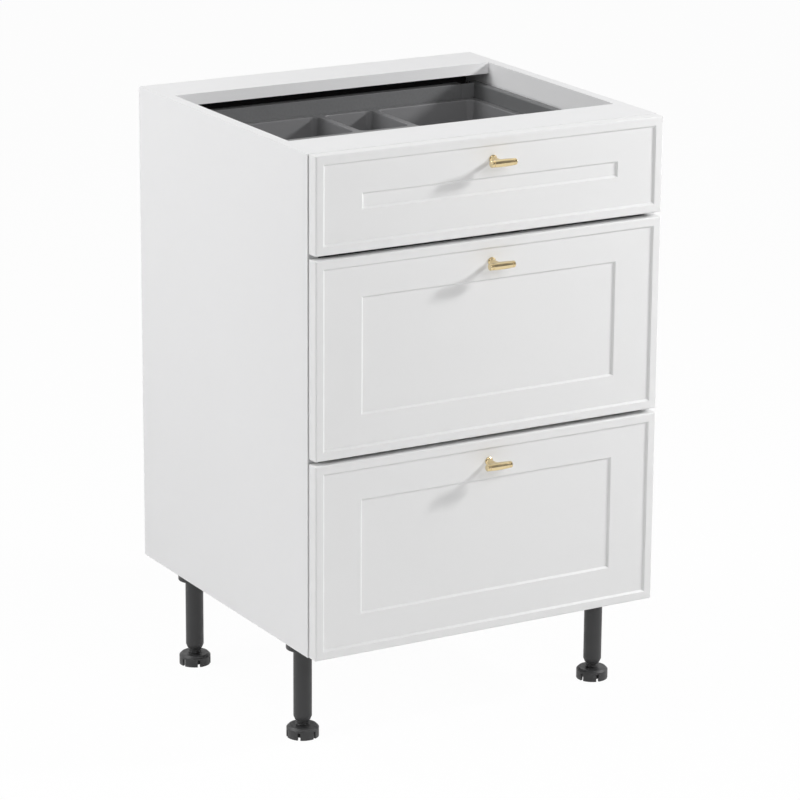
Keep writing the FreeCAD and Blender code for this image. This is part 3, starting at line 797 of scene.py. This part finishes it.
class CABINET_OT_handles(Operator):
    """Turned brass handles: a rose, a waisted post and a barrelled bar"""

    bl_idname = "cabinet.handles"
    bl_label = "Brass Handles"

    def execute(self, context):
        brass = finish("brass")
        for drawer in DRAWERS:
            low, high = box("handle_bar_" + drawer)
            centre = (low + high) / 2
            half, radius = (high[0] - low[0]) / 2, (high[2] - low[2]) / 2
            shell = Shell()
            profile = bar_profile(half, radius - 0.8 * MM, radius)
            shell.grid(turned_grid(profile, centre, (1, 0, 0)))
            piece("turned_bar_" + drawer, shell.mesh("bar"), "drawer_" + drawer, brass,
                  ["handle_bar_" + drawer], smooth=50.0)
            post_low, post_high = box("handle_post_" + drawer)
            foot = np.array([centre[0], post_high[1], centre[2]])
            shell = Shell()
            profile = post_profile(post_high[1] - centre[1], (post_high[2] - post_low[2]) / 2)
            shell.grid(turned_grid(profile, foot, (0, -1, 0), 40))
            piece("turned_post_" + drawer, shell.mesh("post"), "drawer_" + drawer, brass,
                  ["handle_post_" + drawer], smooth=50.0)
        return {"FINISHED"}


# ---- drawer boxes ----------------------------------------------------------------------------
def side_skins(width, height):
    """The two faces of the folded sheet as paths of (distance from the outer skin, height).

    The hidden face and the shown face turn at the same folds, so their points pair up. The sheet
    runs from the flange under the base up the inner skin, over the top and down the outer skin.
    """
    made = settings().boxes
    sheet, bend = made.sheet, made.bend
    tight = bend - sheet
    flange = width + made.flange
    hidden = [
        (flange, 0, 0), (width - sheet, 0, bend), (width - sheet, height - sheet, tight),
        (sheet, height - sheet, tight), (sheet, made.lip_height + sheet, tight),
        (made.lip, made.lip_height + sheet, 0),
    ]
    shown = [
        (flange, sheet, 0), (width, sheet, tight), (width, height, bend), (0, height, bend),
        (0, made.lip_height, bend), (made.lip, made.lip_height, 0),
    ]
    return eased_path(hidden, 5), eased_path(shown, 5)


def side_surface(node, sign):
    """Folded side of a drawer: the section of the sheet carried along the drawer, with closed
    ends, and the tab that takes the front's screws."""
    low, high = box(node)
    made = settings().boxes
    outer = low[0] if sign < 0 else high[0]
    hidden, shown = side_skins(made.width, high[2] - low[2])
    section = np.concatenate([hidden, shown[::-1]])
    ends = np.array([low[1], high[1]])
    x = np.broadcast_to(outer - sign * section[None, :, 0], (2, len(section)))
    z = np.broadcast_to(low[2] + section[None, :, 1], (2, len(section)))
    y = np.broadcast_to(ends[:, None], x.shape)
    rows = np.stack([x, y, z], axis=-1)
    shell = Shell()
    shell.grid(rows)
    for row in rows:
        pairs = np.stack([row[:len(hidden)], row[len(hidden):][::-1]])
        shell.grid(pairs, round_columns=False)
    inner = outer - sign * made.width
    tab_x = sorted((inner + sign * made.sheet * 0.5, inner - sign * made.tab))
    tab_low = low[2] + made.sheet + made.tab_rise
    block(shell, (tab_x[0], low[1], tab_low),
          (tab_x[1], low[1] + made.sheet, tab_low + made.tab_height), 0.35 * MM)
    return shell


class CABINET_OT_drawer_boxes(Operator):
    """Drawer boxes: folded steel sides, base and back boards, brackets, rods and screws"""

    bl_idname = "cabinet.drawer_boxes"
    bl_label = "Drawer Boxes"

    def execute(self, context):
        steel, board = finish("grey_steel"), finish("grey_board")
        for drawer in DRAWERS:
            body = "drawer_" + drawer
            for place, sign in SIDES.items():
                node = "drawer_side_%s_%s" % (place, drawer)
                piece("folded_side_%s_%s" % (place, drawer), side_surface(node, sign).mesh(node),
                      body, steel, [node], smooth=40.0)
            for part, radius in (("base", 0.4 * MM), ("back", 0.8 * MM)):
                node = "drawer_%s_%s" % (part, drawer)
                shell = Shell()
                block(shell, *box(node), radius)
                piece("%s_board_%s" % (part, drawer), shell.mesh(node), body, board,
                      [node])
            dress(steel, "corner_brackets_" + drawer)
            dress(finish("screw_steel"), "drawer_screws_" + drawer)
        for drawer in DEEP_DRAWERS:
            dress(steel, "gallery_rods_" + drawer)
        return {"FINISHED"}


class CABINET_OT_runners(Operator):
    """Zinc plated runners and their screws"""

    bl_idname = "cabinet.runners"
    bl_label = "Runners"

    def execute(self, context):
        zinc = finish("zinc_steel")
        dress(zinc, "cabinet_members")
        for drawer in DRAWERS:
            dress(zinc, "middle_members_" + drawer, "drawer_members_" + drawer)
        dress(finish("screw_steel"), "runner_screws")
        return {"FINISHED"}


# ---- tray ------------------------------------------------------------------------------------
def tray_pockets(low, high):
    """Mouths of the pockets as rows of (x0, x1, y0, y1): two short ones behind, a long one at the
    right, and three in front of the short ones."""
    made = settings().tray
    left, right = low[0] + made.rim, high[0] - made.rim
    front, back = low[1] + made.rim, high[1] - made.rim
    half_gap = made.divider / 2
    split = back - made.rear_pockets
    left_end = made.left_divider - half_gap
    narrow = (left_end - left - made.divider) / 2
    middle = (made.left_divider + half_gap, made.right_divider - half_gap)
    return [
        (left, left_end, split, back),
        (*middle, split, back),
        (made.right_divider + half_gap, right, front, back),
        (left, left + narrow, front, split - made.divider),
        (left_end - narrow, left_end, front, split - made.divider),
        (*middle, front, split - made.divider),
    ]


def pocket_rings(mouth, floor, top):
    """Wall and floor of a pocket: rings whose inset and height follow a path over the rounded
    mouth, down the drafted wall and round onto the floor."""
    made = settings().tray
    over = made.mouth_round
    path = eased_path([
        (-over, top, 0), (0, top, over * 0.8), (made.draft, floor, made.floor_round),
        (made.draft + 2.2 * made.floor_round, floor, 0),
    ], steps=7)
    inset, height = path.T
    corner = np.maximum(made.corner - inset, 2 * MM)
    x0, x1, y0, y1 = mouth
    x, y = rounded_rings(x0 + inset, x1 - inset, y0 + inset, y1 - inset, corner, 8)
    return np.stack([x, y, np.broadcast_to(height[:, None], x.shape)], axis=-1)


def skirt_rings(low, high):
    """Outer edge of the tray, from its flat rim over a round edge down to the skirt's end."""
    made = settings().tray
    over = made.mouth_round
    path = eased_path([
        (over, high[2], 0), (0, high[2], over * 0.8), (0, high[2] - made.skirt, 0)], steps=7)
    inset, height = path.T
    corner = np.maximum(4 * MM - inset, 1 * MM)
    x, y = rounded_rings(low[0] + inset, high[0] - inset, low[1] + inset, high[1] - inset,
                         corner, 8)
    return np.stack([x, y, np.broadcast_to(height[:, None], x.shape)], axis=-1)


def web(outline, holes):
    """Flat web between an outline and holes in it: triangles between all their points, without
    those whose middle lies within a hole's outline."""
    loops = [outline] + holes
    points = np.concatenate(loops)
    edges, start = [], 0
    for loop in loops:
        count = len(loop)
        edges += [(start + i, start + (i + 1) % count) for i in range(count)]
        start += count
    flat = [Vector(point[:2]) for point in points]
    spots, _, faces, _, _, _ = delaunay_2d_cdt(flat, edges, [], 0, 1e-7)
    spots = np.array([(spot.x, spot.y, outline[0][2]) for spot in spots])
    middles = spots[np.array(faces)].mean(axis=1)
    keep = np.ones(len(faces), bool)
    for hole in holes:
        ahead = np.roll(hole, -1, axis=0) - hole
        to_middle = middles[:, None, :2] - hole[None, :, :2]
        turn = ahead[None, :, 0] * to_middle[:, :, 1] - ahead[None, :, 1] * to_middle[:, :, 0]
        keep &= ~(turn > 0).all(axis=1)
    return spots, np.array(faces)[keep].tolist()


class CABINET_OT_tray(Operator):
    """Moulded tray with drafted pockets, rounded mouths and a turned down rim"""

    bl_idname = "cabinet.tray"
    bl_label = "Moulded Tray"

    def execute(self, context):
        made = settings().tray
        low, high = box("cutlery_tray")
        shell = Shell()
        skirt = skirt_rings(low, high)
        pockets = [pocket_rings(mouth, low[2] + made.wall, high[2])
                   for mouth in tray_pockets(low, high)]
        shell.grid(skirt[::-1])
        for pocket in pockets:
            shell.grid(pocket, last_cap=True)
        shell.add(*web(skirt[0], [pocket[0] for pocket in pockets]))
        mesh = shell.mesh("moulded_tray")
        piece("moulded_tray", mesh, "drawer_top", finish("grey_plastic"),
              ["cutlery_tray"], smooth=50.0, wall=made.wall)
        return {"FINISHED"}


# ---- legs ------------------------------------------------------------------------------------
def leg_axes():
    """Where the four legs stand, from the middle of each foot."""
    return {place: sum(box("foot_" + place)) / 2 for place in LEG_PLACES}


def disc_surface(shell, centre, first_slot):
    """Hollow foot disc: an outline turned about the leg's axis, whose lower rim is lifted to the
    slot's height wherever the angle lies within a slot."""
    made = settings().legs
    low, high = box("foot_front_left")
    radius = (high[0] - low[0]) / 2
    inside = radius - made.disc_wall
    hub = made.hub
    top, chamfer = made.disc_height, made.disc_chamfer
    path = np.concatenate([
        [(0, 1 * MM), (hub, 1 * MM), (hub, made.hollow), (inside, made.hollow),
         (inside, made.slot_height), (inside, 0), (radius, 0), (radius, made.slot_height)],
        eased_path([(radius, made.slot_height + 0.5 * MM, 0), (radius, top - chamfer, 1.2 * MM),
                    (radius - chamfer, top, 1.2 * MM), (made.stem - 0.5 * MM, top, 0)], 4),
    ])
    r, z = path[:, 0, None], path[:, 1, None]
    half = np.arcsin(made.slot_width / 2 / np.maximum(r, inside))
    sector = 2 * math.pi / made.slots
    in_slot = np.linspace(-1, 1, 4)[None, :]
    on_land = np.linspace(0, 1, 10)[None, :]
    angles = np.concatenate([in_slot * half, half + on_land * (sector - 2 * half)], axis=1)
    in_rim = np.where(r >= inside, made.slot_height, 0)
    lifted = np.concatenate([np.maximum(z, in_rim) + 0 * in_slot, z + 0 * on_land], axis=1)
    turns = first_slot + np.arange(made.slots) * sector
    angle = (turns[None, :, None] + angles[:, None, :]).reshape(len(path), -1)
    height = np.broadcast_to(lifted[:, None, :], (len(path), made.slots, lifted.shape[1]))
    height = height.reshape(len(path), -1)
    x, y = centre[0] + r * np.cos(angle), centre[1] + r * np.sin(angle)
    shell.grid(np.stack([x, y, height], axis=-1))


def stem_surface(shell, centre, top):
    """Threaded stem: its radius dips by the thread's depth once in each turn and each pitch of
    height, along a smooth wave with flattened crests."""
    made = settings().legs
    low = made.disc_height - 1 * MM
    rows = int((top - low) / made.pitch * 12)
    height = np.linspace(low, top, rows)[:, None]
    angle = (np.arange(40) * 2 * math.pi / 40)[None, :]
    phase = height / made.pitch * 2 * math.pi - angle
    wave = np.clip(0.5 - 0.75 * np.cos(phase), 0, 1)
    fade = np.clip((top - height) / (1.5 * MM), 0, 1)
    radius = made.stem - made.thread * (1 - wave * fade)
    x, y = centre[0] + radius * np.cos(angle), centre[1] + radius * np.sin(angle)
    shell.grid(np.stack([x, y, height + 0 * angle], axis=-1), first_cap=True, last_cap=True)


class CABINET_OT_legs(Operator):
    """Plastic legs: flanged sockets, tubes, slotted discs and threaded stems"""

    bl_idname = "cabinet.legs"
    bl_label = "Legs"

    def execute(self, context):
        made = settings().legs
        plastic = finish("black_plastic")
        tube_low, tube_high = box("leg_tubes")
        socket_low, socket_high = box("leg_sockets")
        tubes, sockets = Shell(), Shell()
        first_slots = dict(zip(LEG_PLACES, np.radians(FIRST_SLOTS)))
        axes = leg_axes()
        radius = tube_high[0] - axes["front_right"][0]
        flange = socket_high[0] - axes["front_right"][0]
        bore, inside = radius - made.tube_wall, flange - made.socket_wall
        rim_low, under = socket_high[2] - made.socket_skirt, socket_high[2] - made.plate
        for place, middle in axes.items():
            centre = (middle[0], middle[1], 0)
            tube = eased_path([
                (bore, tube_high[2], 0), (bore, tube_low[2], FINE),
                (radius - made.tube_chamfer, tube_low[2], FINE),
                (radius, tube_low[2] + made.tube_slope, 1.5 * MM), (radius, tube_high[2], 0),
            ])
            tubes.grid(turned_grid(tube, centre, (0, 0, 1), 56), round_rows=True)
            socket = eased_path([
                (0, socket_high[2], 0), (flange, socket_high[2], FINE), (flange, rim_low, 0.8 * MM),
                (inside, rim_low, FINE), (inside, under, 0.8 * MM), (bore, under, 0), (0, under, 0),
            ])
            sockets.grid(turned_grid(socket, centre, (0, 0, 1), 56))
            disc, stem = Shell(), Shell()
            disc_surface(disc, centre, first_slots[place])
            stem_surface(stem, centre, box("foot_" + place)[1][2])
            for name, shell, bevel in (("disc", disc, FINE), ("stem", stem, 0.0)):
                title = "foot_%s_%s" % (name, place)
                piece(title, shell.mesh(title), "foot_" + place, plastic,
                      ["foot_" + place], smooth=40.0, bevel=bevel)
        piece("turned_leg_tubes", tubes.mesh("tubes"), "cabinet", plastic,
              ["leg_tubes"])
        piece("flanged_sockets", sockets.mesh("sockets"), "cabinet", plastic,
              ["leg_sockets"])
        dress(finish("screw_steel"), "leg_screws")
        return {"FINISHED"}


# ---- studio ----------------------------------------------------------------------------------
CAMERA_PLACE = (-2.7786, -4.8204, 2.0840)
CAMERA_YAW, CAMERA_PITCH, CAMERA_ROLL = 0.5227, 0.2848, 0.0067
SENSOR_WIDTH = 36.0      # millimetres
CLIP_END = 200.0
FLOOR_REACH = 40.0       # from the middle of the floor to its edge
WHITE = (1.0, 1.0, 1.0)
UNLIT_DEPTH = (-0.45, -0.1)      # how far forwards a mirrored ray goes where the dark fades out
UNLIT_STRENGTH = 0.2
MIDDLE = (0.0, -0.05, 0.6)
LAMPS = {                # where each lamp stands, and what it points at
    "key": ((2.05, -1.28, 1.94), (0.0, -0.267, 0.72)),
    "left": ((-2.8, 0.3, 1.7), MIDDLE),
    "crown": ((-1.5, 1.2, 3.0), MIDDLE),
    "front": ((0.0, -2.8, 2.2), MIDDLE),
}


def kind_of_ray(nodes, kind):
    return nodes.node("ShaderNodeLightPath", output="Is %s Ray" % kind)


def seen(nodes):
    """1 for camera, glossy and transmission rays, and 0 for rays that only carry light."""
    rays = [kind_of_ray(nodes, kind) for kind in ("Camera", "Glossy", "Transmission")]
    return rays[0].math("MAXIMUM", rays[1]).math("MAXIMUM", rays[2])


def floor_material():
    """Pale floor that takes the light, and is seen as white with a share of its shadow."""
    made = settings().studio
    material = bpy.data.materials.new("pale_floor")
    nodes = Nodes(material)
    nodes.show("ShaderNodeOutputMaterial", nodes.node("ShaderNodeMixShader", values={
        0: seen(nodes) * (1.0 - made.shadow),
        1: nodes.node("ShaderNodeBsdfDiffuse", values={"Color": made.floor}),
        2: nodes.node("ShaderNodeEmission"),
    }))
    return material


def world_light():
    """Even sky that lights at its own strength, and is plain white where it is seen. Mirrored it
    is dark in front of the cabinet, as the unlit part of a studio is."""
    world = bpy.data.worlds.new("studio")
    nodes = Nodes(world)
    way = nodes.node("ShaderNodeTexCoord", output="Generated")
    depth = nodes.node("ShaderNodeSeparateXYZ", values={"Vector": way}, output="Y")
    mirrored = nodes.remap(depth, *UNLIT_DEPTH, UNLIT_STRENGTH, 1.0)
    nodes.show("ShaderNodeOutputWorld", nodes.node("ShaderNodeMixShader", values={
        0: seen(nodes),
        1: nodes.node("ShaderNodeBackground", values={
            "Color": WHITE, "Strength": settings().studio.sky}),
        2: nodes.node("ShaderNodeBackground", values={
            "Color": WHITE, "Strength": mirrored.math("MAXIMUM", kind_of_ray(nodes, "Camera"))}),
    }))
    bpy.context.scene.world = world


def lamp(name, power, size):
    light = bpy.data.lights.new(name, "AREA")
    light.energy = power
    light.size = size
    thing = bpy.data.objects.new(name, light)
    bpy.context.scene.collection.objects.link(thing)
    place, target = (Vector(point) for point in LAMPS[name])
    thing.location = place
    thing.rotation_euler = (target - place).to_track_quat("-Z", "Y").to_euler()


def camera_pose():
    """Camera turned by its yaw from straight ahead, tipped down by its pitch and rolled."""
    yaw, pitch, roll = CAMERA_YAW, CAMERA_PITCH, CAMERA_ROLL
    forward = Vector((math.sin(yaw) * math.cos(pitch), math.cos(yaw) * math.cos(pitch),
                      -math.sin(pitch)))
    level = Vector((math.cos(yaw), -math.sin(yaw), 0.0))
    upward = level.cross(forward)
    right = math.cos(roll) * level + math.sin(roll) * upward
    up = -math.sin(roll) * level + math.cos(roll) * upward
    turn = Matrix((right, up, -forward)).transposed().to_4x4()
    return Matrix.Translation(CAMERA_PLACE) @ turn


class CABINET_OT_studio(Operator):
    """Pale floor, soft lamps, even sky and the camera"""

    bl_idname = "cabinet.studio"
    bl_label = "Studio"

    def execute(self, context):
        made = settings().studio
        scene = context.scene
        line = np.linspace(-FLOOR_REACH, FLOOR_REACH, 9)
        x, y = np.meshgrid(line, line)
        shell = Shell()
        shell.grid(np.stack([x, y, 0 * x], axis=-1), round_columns=False)
        mesh = shell.mesh("floor", outward=False)
        mesh.materials.append(floor_material())
        floor = bpy.data.objects.new("studio_floor", mesh)
        scene.collection.objects.link(floor)
        world_light()
        lamp("key", made.key, made.key_size)
        for name in ("left", "crown", "front"):
            lamp(name, getattr(made, name), made.soft_size)
        camera = bpy.data.cameras.new("camera")
        camera.lens = made.lens
        camera.sensor_width = SENSOR_WIDTH
        camera.clip_end = CLIP_END
        scene.camera = bpy.data.objects.new("camera", camera)
        scene.collection.objects.link(scene.camera)
        scene.camera.matrix_world = camera_pose()
        scene.view_settings.view_transform = "Standard"
        return {"FINISHED"}


# ---- panel and registration ------------------------------------------------------------------
OPERATORS = (
    CABINET_OT_carcass, CABINET_OT_fronts, CABINET_OT_handles, CABINET_OT_drawer_boxes,
    CABINET_OT_runners, CABINET_OT_tray, CABINET_OT_legs, CABINET_OT_studio,
)


class CABINET_PT_dressing(Panel):
    """Lists the steps of the dressing in the sidebar"""

    bl_idname = "CABINET_PT_dressing"
    bl_label = "Drawer Cabinet"
    bl_space_type = "VIEW_3D"
    bl_region_type = "UI"
    bl_category = "Cabinet"

    def draw(self, context):
        for step in OPERATORS:
            self.layout.operator(step.bl_idname)
        for group in (settings().boards, settings().fronts, settings().handles, settings().boxes,
                      settings().tray, settings().legs, settings().studio):
            column = self.layout.box().column()
            for name in group.bl_rna.properties.keys():
                if name not in ("rna_type", "name"):
                    column.prop(group, name)


GROUPS = (
    BoardSettings, FrontSettings, HandleSettings, BoxSettings, TraySettings, LegSettings,
    StudioSettings, DressingSettings,
)


def register():
    for part in GROUPS + OPERATORS + (CABINET_PT_dressing,):
        bpy.utils.register_class(part)
    bpy.types.Scene.cabinet_dressing = PointerProperty(type=DressingSettings)


def unregister():
    del bpy.types.Scene.cabinet_dressing
    for part in reversed(GROUPS + OPERATORS + (CABINET_PT_dressing,)):
        bpy.utils.unregister_class(part)


def main():
    register()
    for step in OPERATORS:
        group, name = step.bl_idname.split(".")
        getattr(getattr(bpy.ops, group), name)()


if __name__ == "__main__":
    main()
